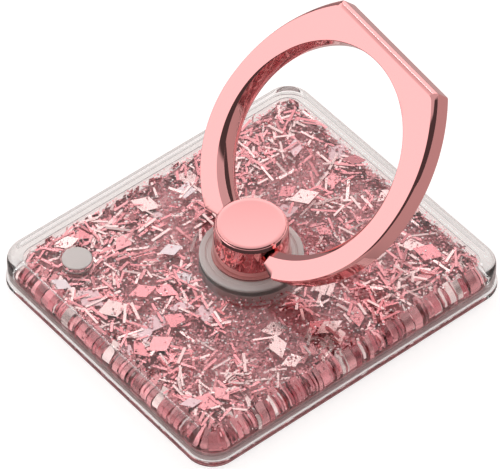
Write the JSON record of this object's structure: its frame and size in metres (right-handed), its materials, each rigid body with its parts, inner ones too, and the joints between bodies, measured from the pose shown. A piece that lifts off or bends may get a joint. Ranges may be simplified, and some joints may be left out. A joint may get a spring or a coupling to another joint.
{
  "type": "phone ring holder",
  "caption": "Clear rectangular phone ring holder filled with rose glitter oil, with a turning hub and a folding finger ring.",
  "frame": {"origin": "on the hub's turning axis, in the plane of the adhesive face that sticks to the phone", "axes": "+Z out of the phone along the hub's axis, +X along the 40 mm side towards the raised ring, +Y along the 35 mm side"},
  "size_m": [0.04, 0.035, 0.025],
  "materials": {
    "clear_acrylic": "clear moulded, polished",
    "glitter_oil": "clear oil with fine rose glitter",
    "rose_film": "metallised film, mirror bright",
    "pearl_film": "pearl film, iridescent",
    "rose_gold": "rose gold plated, polished",
    "steel": "plain steel",
    "adhesive": "white foam tape"
  },
  "bodies": {
    "case": {"adhesive_pad": "adhesive", "base_plate": "clear_acrylic", "top_cover": "clear_acrylic", "fill_plug": "clear_acrylic", "glitter_oil": "glitter_oil", "tinsel_strips": "rose_film", "rose_diamonds": "rose_film", "pearl_diamonds": "pearl_film", "disc_spring": "steel"},
    "hub": {"swivel_hub": "rose_gold", "pivot_pin": "steel", "retaining_washer": "steel", "retaining_screw": "steel"},
    "ring": {"finger_ring": "rose_gold"}
  },
  "joints": [
    {"name": "hub_swivel", "type": "hinge", "parent": "case", "child": "hub", "pos_m": [0, 0, 0], "axis": [0, 0, 1], "continuous": true},
    {"name": "ring_tilt", "type": "hinge", "parent": "hub", "child": "ring", "pos_m": [0, 0, 0.00735], "axis": [-0.0872, -0.9962, 0], "range_deg": [-47.5, 139.5]}
  ]
}
